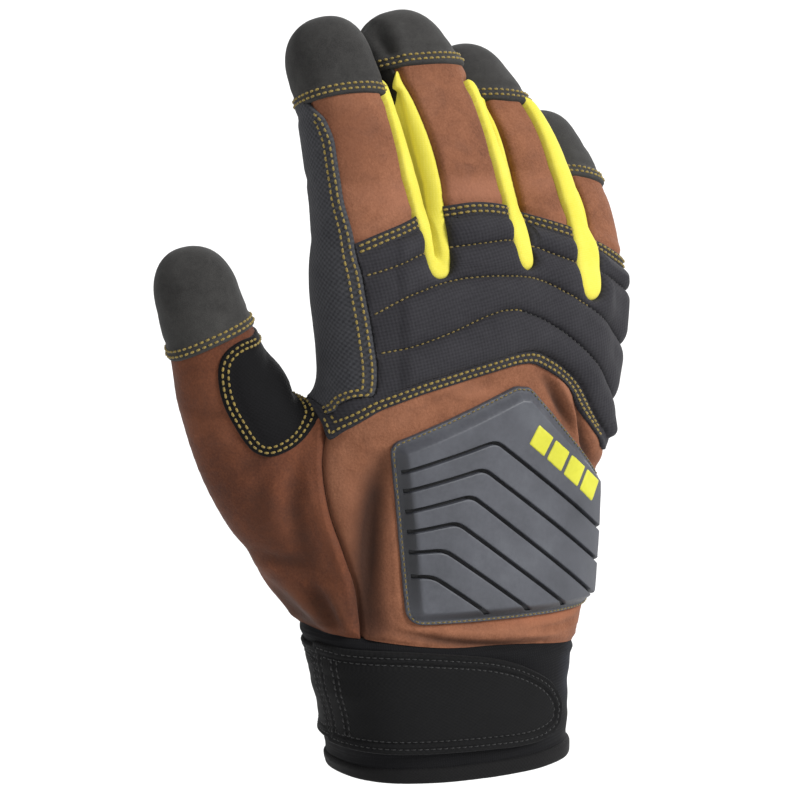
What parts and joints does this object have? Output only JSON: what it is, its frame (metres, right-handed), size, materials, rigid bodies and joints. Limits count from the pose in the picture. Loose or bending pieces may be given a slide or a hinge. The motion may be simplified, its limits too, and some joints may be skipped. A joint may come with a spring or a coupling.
{
  "type": "work glove",
  "caption": "Right-hand work glove in a worn form: leather back, padded knuckles, moulded rubber guard, reinforced fingertips and a stretch cuff with a closing strap.",
  "frame": {"origin": "centre of the cuff opening, where the wrist goes in", "axes": "+Z from the cuff to the fingertips, -Y out of the back of the hand, +Y out of the palm, -X towards the thumb"},
  "size_m": [0.1521, 0.0706, 0.2279],
  "materials": {
    "cuff_knit": "charcoal stretch knit",
    "binding": "folded black edge band",
    "strap": "black woven closing strap",
    "brown_leather": "brown suede-finish leather",
    "palm_suede": "black synthetic suede",
    "cap_suede": "charcoal synthetic suede",
    "web_textile": "dark ribbed textile",
    "side_textile": "dark woven textile",
    "pad_textile": "quilted charcoal textile over foam",
    "lime_knit": "lime yellow stretch textile",
    "guard_rubber": "grey moulded rubber",
    "mark_rubber": "bright yellow rubber"
  },
  "bodies": {
    "root": {"cuff": "cuff_knit", "cuff_binding": "binding", "cuff_strap": "strap", "back_panel": "brown_leather", "thumb_back": "brown_leather", "index_back": "brown_leather", "middle_back": "brown_leather", "ring_back": "brown_leather", "little_back": "brown_leather", "palm_panel": "palm_suede", "thumb_front": "palm_suede", "index_front": "palm_suede", "middle_front": "palm_suede", "ring_front": "palm_suede", "little_front": "palm_suede", "thumb_cap": "cap_suede", "index_cap": "cap_suede", "middle_cap": "cap_suede", "ring_cap": "cap_suede", "little_cap": "cap_suede", "web_patch": "web_textile", "index_side_panel": "side_textile", "knuckle_pad": "pad_textile", "gusset_1": "lime_knit", "gusset_2": "lime_knit", "gusset_3": "lime_knit", "guard_rim": "guard_rubber", "guard_plate": "guard_rubber", "guard_bar_1": "mark_rubber", "guard_bar_2": "mark_rubber", "guard_bar_3": "mark_rubber", "guard_bar_4": "mark_rubber"}
  },
  "joints": []
}
